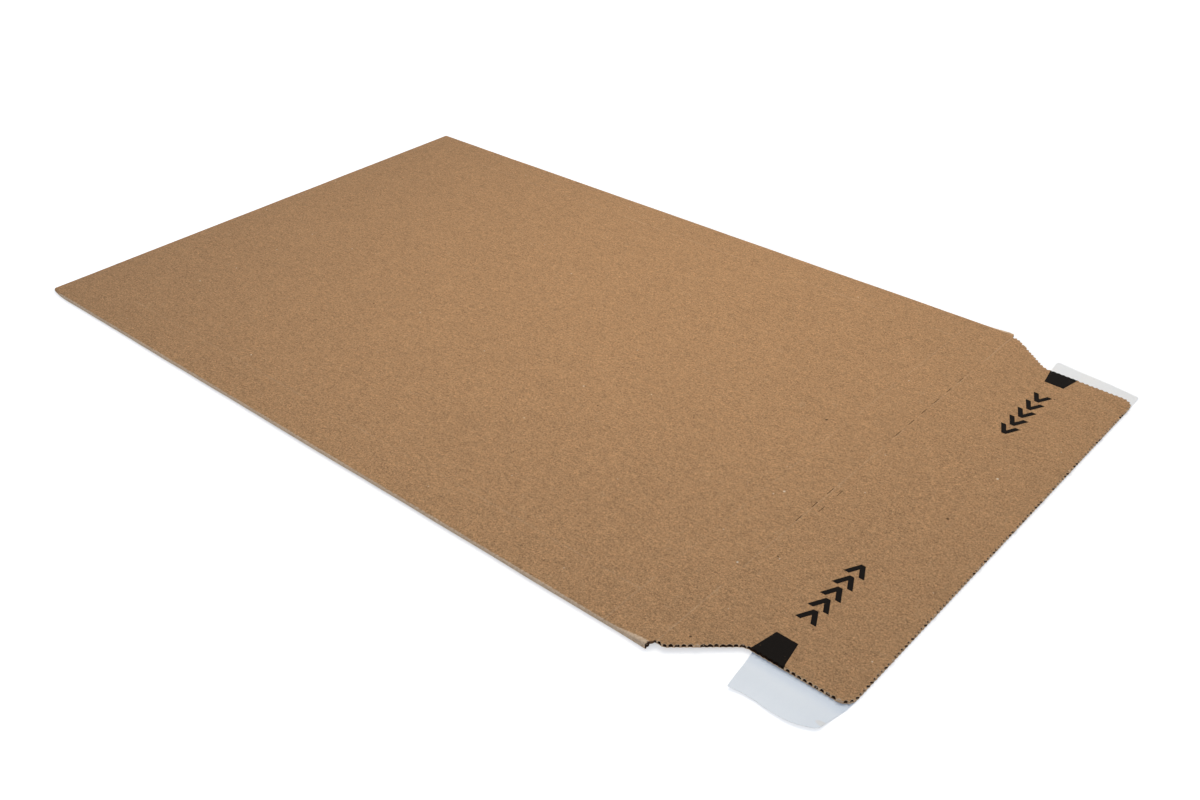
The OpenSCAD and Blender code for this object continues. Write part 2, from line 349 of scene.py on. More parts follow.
def kraft_colour(finish):
    """Cloudy recycled kraft with fibres and specks, and the height that goes with it."""
    tones = colours()
    dust = finish.speckle(0.42, 1.0, 0.5, shift=(11, 3, 70))
    fine = finish.speckle(0.8, 2.0, 0.6)
    grain = finish.speckle(2.0, 2.0, 0.55, shift=(40, 7, 3))
    streak = finish.speckle(1.0, 2.0, 0.5, scale=(0.3, 1, 1), turn=0.35, shift=(5, 60, 0))
    patch = finish.speckle(6.0, 2.0, 0.5, shift=(9, 90, 0))
    cloud = finish.speckle(45.0, 2.0, 0.5, shift=(120, 33, 0))
    tone = finish.step(finish.speckle(2.6, 3.0, 0.65, shift=(66, 21, 8)), -0.14, 0.14)
    level = (1 + dust * 1.2 + fine * 1.3 + grain * 0.28 + streak * 0.35 + patch * 0.14
             + cloud * 0.06)
    colour = finish.mix(tone, tones.kraft_red, tones.kraft_green)
    colour = finish.shade(colour, level)
    x, y, _ = finish.axes()
    pale = finish.spots(24.0, 0.3, 0.3, (17, 3, 5))
    for along, across, radius in PALE_SPECKS:
        pale = finish.math("MAXIMUM", pale, finish.blot(x, y, along, across, radius))
    faint = finish.spots(9.0, 0.3, 0.35, (2, 41, 6)) * 0.3
    dark = finish.spots(33.0, 0.36, 0.3, (23, 1, 26))
    for along, across, radius in DARK_SPECKS:
        dark = finish.math("MAXIMUM", dark, finish.blot(x, y, along, across, radius))
    pale, dark = pale * 0.8, dark * 0.8
    colour = finish.mix(pale, colour, written(236, 222, 196))
    colour = finish.mix(faint, colour, written(110, 78, 52))
    colour = finish.mix(dark, colour, written(64, 42, 32))
    brown = finish.hairs(9.0, 0.16, 0.06, shift=(4, 4, 4)) * 0.12
    light = finish.hairs(7.0, 0.16, 0.06, shift=(54, 14, 24)) * 0.12
    colour = finish.mix(brown, colour, written(112, 78, 56))
    colour = finish.mix(light, colour, written(214, 184, 146))
    return colour, fine + streak


def band(finish, value, centre, half):
    """A soft line about a centre."""
    return 1 - finish.step(abs(value - centre), half * 0.3, half)


def kraft_paper():
    finish = Finish("recycled kraft paper", Roughness=0.86, Specular_IOR_Level=0.2)
    x, y, z = finish.axes()
    colour, height = kraft_colour(finish)
    inset = sizes().crease_inset / MM
    side = abs(y)
    from_end = x - (CREASE_X - BODY_L)
    worn_line = finish.step(finish.speckle(9.0, 2.0, shift=(8, 1, 1)), -0.16, 0.1)
    # Light lines where a crease has stretched the face paper
    along = (band(finish, side, HALF_W - inset, 0.5) * finish.step(from_end, 40, 44)
             * (1 - finish.step(x, CREASE_X - inset - 1, CREASE_X - inset + 1)))
    across = band(finish, x, CREASE_X - inset, 0.5)
    ridge = band(finish, x, CREASE_X + 0.45, 0.45)
    lines = along * 0.5 + across * 0.4 + ridge * finish.step(side, 66, 96, 0.45, 0.7)
    colour = finish.mix(lines * worn_line * 0.26, colour, written(222, 194, 158))
    # Flutes show through the face paper as very faint stripes along the body
    flute = finish.math("SINE", y * (2 * math.pi / FLUTE_PITCH) + finish.speckle(30.0, 1.0) * 5)
    colour = finish.shade(colour, 1 + flute * 0.006)
    # Rubbed, paler fibres on the folded edges, kept to their upper half, where the paleness is also a
    # painted highlight
    fuzz = finish.speckle(0.75, 2.0, 0.6, shift=(3, 3, 30))
    by_mouth = finish.step(x, CREASE_X - 16, CREASE_X - 3) * 1.1
    long_fold = finish.step(side + fuzz * 0.5 + by_mouth, HALF_W - 0.8, HALF_W - 0.3)
    end_fold = 1 - finish.step(from_end - fuzz * 0.4, 0.2, 0.7)
    worn_and_lit = finish.math("MAXIMUM", long_fold, end_fold * 0.3) * finish.step(z, 0.3, 0.8)
    colour = finish.mix(worn_and_lit * (0.8 + fuzz * 1.6), colour, colours().worn)
    return finish.output(colour, 0.86 + height * 0.12, height + flute * 0.12, 0.045)


def torn_paper(finish, grain, share, tones, contrast, depth):
    """Cut or torn paper in two tones with a fine grain."""
    colour = finish.shade(finish.mix(share, *tones), 1 + grain * contrast)
    return finish.output(colour, None, grain, depth)


def shaded_fluting():
    # Painted shade of the hollows, near-black brown, with patches of the fluting's own brown
    finish = Finish("shaded crushed fluting", Roughness=0.95, Specular_IOR_Level=0.15)
    grain = finish.speckle(0.6, 3.0, 0.6)
    torn = finish.step(finish.speckle(3.0, 2.0, shift=(7, 9, 1)), 0.06, 0.2)
    return torn_paper(finish, grain, torn * 0.5, (colours().core, written(150, 116, 84)), 0.7, 0.08)


def black_ink():
    finish = Finish("black print", Roughness=0.75, Specular_IOR_Level=0.06)
    x, y, _ = finish.axes()
    grain = finish.speckle(0.8, 3.0, 0.6)
    kraft, height = kraft_colour(finish)
    # Pinholes let the kraft through, and a few scratches do at the near side
    bare = finish.spots(2.6, 0.2, 0.12, (1, 2, 3)) * 0.15
    scratched = finish.step(y, -98, -90, 0.6, 0.0) * finish.step(x, CREASE_X + 33, CREASE_X + 35)
    scratch = finish.hairs(3.4, 0.13, 0.12, scale=(0.35, 1, 1), turn=0.5) * scratched
    share = finish.math("MAXIMUM", bare, scratch)
    colour = finish.mix(share, finish.shade(colours().ink, 1 + grain * 1.4), kraft)
    return finish.output(colour, 0.75 + grain * 0.15, height, 0.03)


def liner_paper():
    finish = Finish("release liner", Roughness=0.42, Specular_IOR_Level=0.5)
    cloud = finish.speckle(9.0, 3.0, 0.5)
    grain = finish.speckle(0.8, 3.0, 0.6)
    ripple = finish.speckle(2.4, 2.0, 0.5, scale=(1, 0.12, 1))
    x, y, _ = finish.axes()
    # The near tab is painted bluer and the far tab whiter: painted shade and light on one paper
    far = finish.step(y, -30, 30)
    colour = finish.shade(finish.mix(far * (0.8 + cloud), colours().liner, written(253, 251, 247)),
                          1 + grain * 0.03 + ripple * 0.035)
    # The near tab is painted bluer beside the flap, a painted shade where the flap shadows it, and has a
    # beige patch at its outer corner
    bend = finish.step(y, FLAP_NEAR - 6, FLAP_NEAR) * (1 - far) * 0.45
    colour = finish.mix(bend, colour, written(196, 214, 236))
    along = (x - (CREASE_X + 56.2)) / 2.3
    across = (y + 114.4) / 1.2
    corner_patch = 1 - finish.step(along * along + across * across, 0.4, 1.2)
    colour = finish.mix(corner_patch * 0.5, colour, written(242, 236, 226))
    dust = finish.spots(7.0, 0.22, 0.3, (9, 4, 2)) * 0.3
    colour = finish.mix(dust, colour, written(190, 194, 200))
    return finish.output(colour, 0.42 + cloud * 0.2, cloud + ripple * 0.5, 0.02)


def hot_melt():
    finish = Finish("hot melt adhesive", Roughness=0.22, Specular_IOR_Level=0.5)
    ripple = finish.speckle(3.0, 2.0, 0.5, scale=(1, 0.3, 1))
    bubble = finish.spots(1.6, 0.35, 0.35, (4, 4, 4))
    colour = finish.shade(finish.mix(bubble * 0.3, colours().adhesive, written(244, 238, 216)),
                          1 + ripple * 0.12)
    return finish.output(colour, 0.22 + ripple * 0.2, ripple + bubble * 0.4, 0.05)


def film_tape():
    finish = Finish("tear tape film", Roughness=0.25, Specular_IOR_Level=0.5)
    streak = finish.speckle(0.5, 2.0, 0.5, scale=(1, 0.04, 1))
    colour = finish.shade(finish.mix(0.5 + streak, colours().tape, written(210, 192, 156)),
                          1 + streak * 0.15)
    return finish.output(colour, 0.25 + streak * 0.3, streak, 0.01)


def cut_paper_painted_light():
    finish = Finish("cut paper painted lighter", Roughness=0.95, Specular_IOR_Level=0.15)
    grain = finish.speckle(0.5, 3.0, 0.6)
    dirt = finish.step(finish.speckle(2.2, 2.0, shift=(5, 2, 9)), -0.1, 0.2)
    # Raw cut fibres, painted paler still as painted light on edge walls that the lamps hardly reach
    tones = (written(246, 212, 172), written(186, 146, 108))
    return torn_paper(finish, grain, dirt * 0.4, tones, 0.5, 0.05)


def frayed_fibre():
    finish = Finish("frayed fibres", Roughness=0.95, Specular_IOR_Level=0.1)
    grain = finish.speckle(0.4, 3.0, 0.6)
    tones = (written(226, 200, 170), written(196, 160, 122))
    return torn_paper(finish, grain, finish.step(grain, -0.1, 0.1), tones, 0.4, 0.05)


# Shapes, in millimetres until a piece is made

def eased(value, low=0.0, high=1.0):
    share = min(1.0, max(0.0, (value - low) / (high - low)))
    return share * share * (3 - 2 * share)


def spaced(start, end, step):
    count = max(1, round(abs(end - start) / step))
    return [start + (end - start) * i / count for i in range(count + 1)]


def fold_lift(square, u):
    """How high a rounded fold stands, 0 to 1: it is squarer towards the mouth."""
    return max(0.0, square) ** (0.22 + 0.28 * eased(MOUTH_U - u, 0, 12))


def flap_point(u, y, w):
    """A point of the flap in the envelope's frame: the flap droops beyond its crease."""
    if u <= 0:
        return Vector((CREASE_X + u, y, FRONT_Z + w))
    return Vector((CREASE_X + u * math.cos(DROOP) + w * math.sin(DROOP), y,
                   FRONT_Z - u * math.sin(DROOP) + w * math.cos(DROOP)))


def add_object(name, data):
    """A new object of the scene."""
    made = bpy.data.objects.new(name, data)
    bpy.context.scene.collection.objects.link(made)
    return made


def make_piece(name, mesh, finishes, sharp=40.0):
    """Turns a mesh in millimetres into a piece in metres, sharp where it turns hard."""
    if mesh.calc_volume(signed=True) < 0:
        bmesh.ops.reverse_faces(mesh, faces=mesh.faces)
    bmesh.ops.scale(mesh, vec=(MM, MM, MM), verts=mesh.verts)
    for face in mesh.faces:
        face.smooth = True
    for edge in mesh.edges:
        if len(edge.link_faces) == 2:
            edge.smooth = edge.calc_face_angle(0.0) < math.radians(sharp)
    data = bpy.data.meshes.new(name)
    mesh.to_mesh(data)
    mesh.free()
    for finish in finishes:
        data.materials.append(finish_of(finish))
    return add_object(name, data)


def only(kind, parts):
    """The parts of one kind among those that an operator made."""
    return [part for part in parts if isinstance(part, kind)]


def lay_grid(mesh, columns, rows, column_layer, row_layer, place):
    """A grid whose vertices go where place says, and that remember their column and row."""
    made = bmesh.ops.create_grid(mesh, x_segments=columns - 1, y_segments=rows - 1, size=0.5)
    for vert in made["verts"]:
        i = round((vert.co.x + 0.5) * (columns - 1))
        j = round((vert.co.y + 0.5) * (rows - 1))
        vert[column_layer] = i
        vert[row_layer] = j
        vert.co = place(i, j)
    return made["verts"]


class SleeveShape:
    """Where each point of the folded body lies."""

    def __init__(self):
        own = sizes()
        self.r = own.fold_radius / MM
        self.inset = own.crease_inset / MM
        self.crease_depth = own.crease_depth / MM
        self.crush = own.fold_crush / MM
        self.wander = own.edge_wander / MM
        self.swell = own.board_swell / MM
        self.worn = (own.worn_corner_length / MM, own.worn_corner_width / MM)
        self.tooth = own.tooth_depth / MM
        self.pocket = own.pocket_depth / MM
        arc = [math.sin(math.radians(a)) for a in (90, 75, 60, 45, 30, 15)]
        flat = set(spaced(-BODY_L + self.r, -24, 5.5) + spaced(-24, -3, 3.0)
                   + [-self.inset + d for d in PRESSED] + [-3, -2, MOUTH_U])
        # Columns as (u, share of the rounding), rows as (y, signed share of the rounding)
        self.columns = [(-BODY_L + self.r, a) for a in arc] + [(u, 0.0) for u in sorted(flat)]
        side = HALF_W - self.r
        across = {float(y) for y in range(-122, 123)} | {-side, side}
        for centre in (HALF_W - self.inset, -HALF_W + self.inset):
            across |= {centre + d for d in PRESSED}
        across |= {LAP_Y - LAP_EDGE, LAP_Y + LAP_EDGE}
        self.rows = ([(-side, -a) for a in arc] + [(y, 0.0) for y in sorted(across)]
                     + [(side, a) for a in reversed(arc)])

    def plan(self, i, j):
        """Place in plan, and how high the rounded border leaves the face, 0 to 1."""
        (u, a), (y, b) = self.columns[i], self.rows[j]
        p = a * math.sqrt(1 - b * b / 2)
        q = b * math.sqrt(1 - a * a / 2)
        u, y = u - self.r * p, y + self.r * q
        lift = fold_lift(1 - p * p - q * q, u)
        edge = eased(abs(y), HALF_W - 14, HALF_W)
        sway = noise.noise(Vector((u / 34, math.copysign(3, y), 0.5)))
        sway += 0.5 * noise.noise(Vector((u / 9, math.copysign(7, y), 1.5)))
        y += self.wander * sway * edge * eased(MOUTH_U - u, 0, 14)
        from_end = u + BODY_L
        if y < 0:
            slant = max(0.0, 1 - from_end / self.worn[0])
            y += self.worn[1] * slant * eased(-y, HALF_W - 34, HALF_W)
        u += self.wander * noise.noise(Vector((y / 26, 9, 2.5))) * eased(20 - from_end, 0, 20)
        return u, y, lift

    def thickness(self, u, y):
        """Height of the whole body at a place: it is pressed thinner beside its folds."""
        beside = max(eased(abs(y), HALF_W - 14, HALF_W - self.r),
                     eased(-u, BODY_L - 12, BODY_L - self.r))
        return TOTAL_T - self.crush * beside * eased(MOUTH_U - u, 0, 10)

    def top(self, i, j):
        u, y, lift = self.plan(i, j)
        z = self.thickness(u, y) * (1 + lift) / 2
        if lift > 0.9:
            from_end = u + BODY_L
            inner = eased(HALF_W - abs(y), 2, 26) * eased(from_end, 2, 30) * eased(-u, 2, 30)
            z += self.swell * inner * (noise.noise(Vector((u / 74, y / 58, 4.0)))
                                       + 0.4 * noise.noise(Vector((u / 21, y / 24, 9.0))))
            in_side = 1 - abs(abs(y) - HALF_W + self.inset) / CREASE_HALF
            if in_side > 0:
                run = eased(from_end, 40, 44) * eased(-u, self.inset - 1, self.inset)
                z -= self.crease_depth * in_side * run
            in_cross = 1 - abs(u + self.inset) / CREASE_HALF
            if in_cross > 0:
                z -= self.crease_depth * in_cross * eased(HALF_W - abs(y), 1.5, 4)
        return Vector((CREASE_X + u, y, z))

    def bottom(self, i, j):
        u, y, lift = self.plan(i, j)
        z = self.thickness(u, y) * (1 - lift) / 2
        if lift > 0.9:
            on_lap = 1 - abs(y - LAP_Y) / LAP_EDGE
            z += 0.1 * max(0.0, on_lap)
        if i == len(self.columns) - 1 and abs(self.rows[j][1]) == 0:
            u -= self.tooth * (round(y) % 2 if abs(y - round(y)) < 0.01 else 0.5)
        return Vector((CREASE_X + u, y, z))

    def mouth(self, j):
        """The way round the mouth at a row, from the front face to the back face."""
        last = len(self.columns) - 1
        start, end = self.top(last, j), self.bottom(last, j)
        y = start.y
        if abs(y) > HALF_W - FOLD_REACH:
            return [start.lerp(end, k / 9) for k in range(10)]
        shut = noise.noise(Vector((y * 0.7, 5, 5))) > 0.32
        is_notch = abs(y - round(y)) < 0.01 and round(y) % 2
        deep = end.x - (self.pocket if is_notch and not shut else 0.0)
        slit = CREASE_X + MOUTH_U - SLIT_DEPTH
        corners = [(start.x, FRONT_Z), (slit, FRONT_Z), (slit, BOARD_T), (end.x, BOARD_T),
                   (end.x, BOARD_T - FACE_PAPER_T), (deep, BOARD_T - FACE_PAPER_T),
                   (deep, BACK_PAPER_T), (end.x, BACK_PAPER_T)]
        return [start, *[Vector((x, y, z)) for x, z in corners], end]


def build_sleeve_board():
    """Front board, back board and folded edges as one closed mesh with its mouth open."""
    shape = SleeveShape()
    mesh = bmesh.new()
    column_of = mesh.verts.layers.int.new("column")
    row_of = mesh.verts.layers.int.new("row")
    columns, rows = len(shape.columns), len(shape.rows)
    lay_grid(mesh, columns, rows, column_of, row_of, shape.top)
    below = lay_grid(mesh, columns, rows, column_of, row_of, shape.bottom)
    under = set(below)
    bmesh.ops.reverse_faces(mesh, faces=[f for f in mesh.faces if f.verts[0] in under])
    rim = [e for e in mesh.edges if all(v[column_of] == columns - 1 and v not in under
                                        for v in e.verts)]
    way = [shape.mouth(j) for j in range(rows)]
    shaded_cut_faces = []
    for k in range(1, 10):
        made = bmesh.ops.extrude_edge_only(mesh, edges=rim)["geom"]
        for vert in only(bmesh.types.BMVert, made):
            vert.co = way[vert[row_of]][k]
        for face in only(bmesh.types.BMFace, made):
            at_fold = abs(face.calc_center_median().y) > HALF_W - FOLD_REACH
            if k >= (2 if at_fold else 5):
                shaded_cut_faces.append(face)
        rim = [e for e in only(bmesh.types.BMEdge, made)
               if all((v.co - way[v[row_of]][k]).length < 1e-5 for v in e.verts)
               and len(e.link_faces) == 1]
    # The cut faces in the mouth take the hollows' painted shade
    for face in shaded_cut_faces:
        face.material_index = 1
    bmesh.ops.remove_doubles(mesh, verts=mesh.verts, dist=0.002)
    bmesh.ops.dissolve_degenerate(mesh, edges=mesh.edges, dist=0.0005)
    bmesh.ops.recalc_face_normals(mesh, faces=mesh.faces)
    return make_piece("sleeve_board", mesh, ["kraft", "core"])


# Outline of the flap

def unit(v):
    return v / v.length


def rounded(a, b, c, radius, steps=6):
    """Points of an arc that rounds the corner b between a and c."""
    a, b, c = Vector(a), Vector(b), Vector(c)
    to_a, to_c = unit(a - b), unit(c - b)
    half = math.acos(max(-1.0, min(1.0, to_a.dot(to_c)))) / 2
    middle = b + unit(to_a + to_c) * (radius / math.sin(half))
    start, end = b + to_a * (radius / math.tan(half)), b + to_c * (radius / math.tan(half))
    first = math.atan2(start.y - middle.y, start.x - middle.x)
    last = math.atan2(end.y - middle.y, end.x - middle.x)
    sweep = (last - first + 3 * math.pi) % (2 * math.pi) - math.pi
    return [middle + Vector((math.cos(first + sweep * i / steps),
                             math.sin(first + sweep * i / steps))) * radius
            for i in range(steps + 1)]


def flap_path():
    """The flap's smooth edge from the near end of its root to the far end."""
    end = ROOT_RUN + SHOULDER_L
    near_root, far_root = (CREASE_GAP, -ROOT_Y), (CREASE_GAP, ROOT_Y)
    corners = [near_root, (ROOT_RUN, -ROOT_Y), (end, FLAP_NEAR), (FLAP_L, FLAP_NEAR),
               (FLAP_L, FLAP_FAR), (end, FLAP_FAR), (ROOT_RUN, ROOT_Y), far_root]
    radii = [SHOULDER_R / 2, SHOULDER_R, CORNER_R, CORNER_R, SHOULDER_R, SHOULDER_R]
    path = [Vector(near_root)]
    for k, radius in enumerate(radii):
        path += rounded(corners[k], corners[k + 1], corners[k + 2], radius)
    return path + [Vector(far_root)]


class FlapEdge:
    """The toothed edge of the flap, with the pockets between its face papers."""

    def __init__(self):
        own = sizes()
        path = flap_path()
        lead = [Vector(p) for p in NEAR_MOUTH_CUT]
        tail = [Vector(p) for p in FAR_MOUTH_CUT]
        self.path = lead + path + tail
        self.run = [0.0]
        for a, b in zip(self.path, self.path[1:]):
            self.run.append(self.run[-1] + (b - a).length)
        self.first, self.last = self.run[len(lead)], self.run[-1 - len(tail)]
        self.mouth_cuts = self.run[:len(lead)] + self.run[-len(tail):]
        self.teeth = max(1, round((self.last - self.first) / (own.tooth_pitch / MM)))
        self.pitch = (self.last - self.first) / self.teeth
        self.depth = own.tooth_depth / MM
        self.pocket = own.pocket_depth / MM
        chance = random.Random(11)
        self.notch = [chance.uniform(0.8, 1.15) for _ in range(self.teeth + 1)]
        self.open = [chance.uniform(0.75, 1.25) for _ in range(self.teeth + 1)]
        self.marks = [[corner.x / MM - CREASE_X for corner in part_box(node)]
                      for node in ("near_tear_mark", "far_tear_mark")]
        self.nicks = []
        k = 6
        while k < self.teeth:
            self.nicks.append(k)
            k += chance.randint(9, 15)
        for k in self.nicks:
            self.notch[k], self.open[k] = 0.35, 0.1
        self.dark_from = [chance.choice((0.1, 0.4, 0.4, 0.4)) for _ in range(self.teeth + 1)]

    def at(self, s):
        """Point and inward direction at a length along the edge."""
        leg = 0
        while leg < len(self.run) - 2 and self.run[leg + 1] <= s:
            leg += 1
        ahead = unit(self.path[leg + 1] - self.path[leg])
        return self.path[leg] + ahead * (s - self.run[leg]), Vector((-ahead.y, ahead.x))

    def share(self, s):
        """How deep in a notch a place is, 0 on a tooth and 1 in the notch, and which tooth."""
        if not self.first < s < self.last:
            return 0.0, 0
        turns = (s - self.first) / self.pitch
        return 1 - abs(2 * (turns % 1) - 1), int(turns)

    def paper(self, s):
        depth, tooth = self.share(s)
        return self.depth * eased(depth, 0.1, 0.8) * self.notch[tooth]

    def floor(self, s):
        """The back paper is cut less deep, so a notch shows the dark hollow above it."""
        return 0.25 * self.paper(s)

    def deep(self, s):
        depth, tooth = self.share(s)
        return self.paper(s) + self.pocket * eased(depth, 0.15, 0.6) * self.open[tooth]

    def shows_shaded_hollow(self, s):
        """Whether the cut shows the hollow of a flute there, painted dark as its shade, or a bridge of
        paper.
        """
        if not self.first < s < self.last:
            return True
        depth, tooth = self.share(s)
        return tooth not in self.nicks and depth > self.dark_from[tooth]

    def in_mark(self, s):
        """Whether a tear mark runs off the flap there."""
        point, _ = self.at(s)
        start, end = self.marks[point.y > 0]
        return abs(point.y) > 100 and start < point.x < end

    def nearest(self, point):
        """Length along the edge of the place nearest to a point."""
        best = (1e9, 0.0)
        for k, (a, b) in enumerate(zip(self.path, self.path[1:])):
            along = b - a
            share = max(0.0, min(1.0, (point - a).dot(along) / along.length_squared))
            gap = (a + along * share - point).length
            if gap < best[0] - 1e-6:
                best = (gap, self.run[k] + share * along.length)
        return best[1]


def build_flap_board():
    """The closing flap with the crease strip that joins it to the front board."""
    own = sizes()
    edge = FlapEdge()
    mesh = bmesh.new()
    along = mesh.verts.layers.float.new("along")
    origin = mesh.verts.layers.int.new("origin")
    steps = sorted(set(edge.mouth_cuts)
                   | {edge.first + edge.pitch * i / TOOTH_POINTS
                      for i in range(TOOTH_POINTS * edge.teeth + 1)})
    outline = []
    for s in steps:
        point, inward = edge.at(s)
        spot = point + inward * RIM
        if s in (edge.run[0], edge.run[-1]):
            spot = Vector((MOUTH_U, point.y - math.copysign(RIM * 1.15, point.y)))
        vert = mesh.verts.new((spot.x, spot.y, BOARD_T))
        vert[along] = s
        outline.append(vert)
    mesh.faces.new(outline)
    slot_half = own.slot_width / MM / 2
    cuts = [-1.0, -0.5, -0.25, -slot_half, slot_half, 0.25, 0.5, 1.0, 1.5, 2.0, 2.5, 2.75,
            SPINE_W, 3.2 - slot_half, 3.2 + slot_half, 3.5, 4.0, 9.0]
    cuts += spaced(15, 57, 6.0)
    for u in cuts:
        bisect(mesh, mesh.faces, (u, 0, 0), (1, 0, 0))
    slot_length, slot_pitch = own.slot_length / MM, own.slot_pitch / MM
    slots = [(u, y) for u, first, last in OPEN_CUTS for y in spaced(first, last, slot_pitch)]
    ends = {y + side * slot_length / 2 for _, y in slots for side in (-1, 1)}
    for y in sorted(ends | set(spaced(-115, 115, 5.0))):
        strip = [f for f in mesh.faces if f.calc_center_median().x < 4.0]
        bisect(mesh, strip, (0, y, 0), (0, 1, 0))
    for y in spaced(-98, 98, 14.0):
        wide = [f for f in mesh.faces if f.calc_center_median().x > 4.0]
        bisect(mesh, wide, (0, y, 0), (0, 1, 0))
    for vert in mesh.verts:
        if vert.is_boundary and vert.co.x > MOUTH_U + 1e-4:
            vert[along] = edge.nearest(vert.co.xy)
    top = list(mesh.faces)
    copy = bmesh.ops.duplicate(mesh, geom=mesh.verts[:] + mesh.edges[:] + mesh.faces[:])["geom"]
    below = only(bmesh.types.BMFace, copy)
    for vert in only(bmesh.types.BMVert, copy):
        vert.co.z = 0.0
    bmesh.ops.reverse_faces(mesh, faces=below)
    # The wall round the cut edge: face paper, pocket, face paper
    rim = [e for e in {e for f in top for e in f.edges} if len(e.link_faces) == 1]
    start = {v: v.co.copy() for e in rim for v in e.verts}
    for number, vert in enumerate(start):
        vert[origin] = number
    rests = list(start.values())
    lengths = [v[along] for v in start]
    under_face = BOARD_T - FACE_PAPER_T
    tiers = [("paper", BOARD_T - 0.03), ("paper", under_face), ("deep", under_face - 0.02),
             ("deep", BACK_PAPER_T + 0.02), ("paper", BACK_PAPER_T + 0.01),
             ("floor", BACK_PAPER_T), ("floor", 0.04), ("back", 0.0)]
    for number, (kind, w) in enumerate(tiers):
        made = bmesh.ops.extrude_edge_only(mesh, edges=rim)["geom"]
        fresh = set(only(bmesh.types.BMVert, made))
        for vert in fresh:
            vert.co = rim_point(edge, kind, w, rests[vert[origin]], lengths[vert[origin]])
        for face in only(bmesh.types.BMFace, made):
            s = sum(v[along] for v in face.verts) / len(face.verts)
            face.material_index = wall_finish(edge, number, s)
        rim = [e for e in only(bmesh.types.BMEdge, made) if all(v in fresh for v in e.verts)]
    # Perforation cuts, pressed in from both faces and painted dark inside as their shade
    floors = [f for f in top + below
              if any(abs(f.calc_center_median().x - u) < slot_half
                     and abs(f.calc_center_median().y - y) < slot_length / 2 for u, y in slots)]
    walls = bmesh.ops.inset_region(mesh, faces=floors, thickness=0.02, depth=-SLOT_DEPTH,
                                   use_even_offset=True, use_boundary=True)["faces"]
    for face in floors + list(walls):
        face.material_index = 1
    bmesh.ops.remove_doubles(mesh, verts=mesh.verts, dist=0.002)
    bmesh.ops.dissolve_degenerate(mesh, edges=mesh.edges, dist=0.0005)
    bmesh.ops.triangulate(mesh, faces=[f for f in mesh.faces if len(f.verts) > 4])
    bmesh.ops.recalc_face_normals(mesh, faces=mesh.faces)
    for vert in mesh.verts:
        vert.co = flap_surface(vert.co)
    return make_piece("flap_board", mesh, ["kraft", "core", "ink", "cut"])


def wall_finish(edge, number, s):
    """Which of the flap's finishes a face of its wall has: kraft, the hollows' painted shade, ink or cut
    fibres painted paler as light.
    """
    in_teeth = edge.first < s < edge.last
    # The back paper's shelf is painted pale at the free edge and painted dark as shade at the sides
    at_end = edge.at(s)[0].x > FLAP_L - 1
    hollow = range(2, 5 if at_end else 6) if in_teeth else range(1, 7)
    if number in hollow and edge.shows_shaded_hollow(s):
        return 1
    if in_teeth and number < 6 and edge.in_mark(s):
        return 2
    return 3 if in_teeth and 0 < number < 7 else 0


def bisect(mesh, faces, point, direction):
    parts = {v for f in faces for v in f.verts} | {e for f in faces for e in f.edges} | set(faces)
    bmesh.ops.bisect_plane(mesh, geom=list(parts), dist=0.0005, plane_co=point,
                           plane_no=direction)


def rim_point(edge, kind, w, rest, s):
    """Where a vertex of the flap's wall goes on one of its tiers."""
    on_seam = rest.x < MOUTH_U + 1e-4
    if kind == "back" or on_seam and edge.run[0] < s < edge.run[-1]:
        return Vector((rest.x, rest.y, w))
    point, inward = edge.at(s)
    if on_seam:
        return Vector((rest.x, point.y if abs(abs(rest.y) - ROOT_Y) < 6 else rest.y, w))
    depth = {"paper": edge.paper, "deep": edge.deep, "floor": edge.floor}[kind](s)
    spot = point + inward * depth
    return Vector((spot.x, spot.y, w))


def flap_surface(point):
    """A point of the flat flap after its creases are pressed, in the envelope's frame."""
    own = sizes()
    u, y, w = point
    share = w / BOARD_T
    depth = own.crease_depth / MM
    for centre in (0.0, SPINE_W):
        inside = 1 - abs(u - centre) / CREASE_HALF
        if inside > 0:
            w -= depth * inside * share
    if u > 6:
        w -= 0.03 * share * (0.5 + 0.5 * noise.noise(Vector((u / 17, y / 22, 3.0))))
    r = own.fold_radius / MM
    if u < 0 and abs(y) > HALF_W - r:
        out = min(1.0, (abs(y) - HALF_W + r) / r)
        w -= share * (TOTAL_T / 2) * (1 - fold_lift(1 - out * out, MOUTH_U))
    return flap_point(u, y, w)


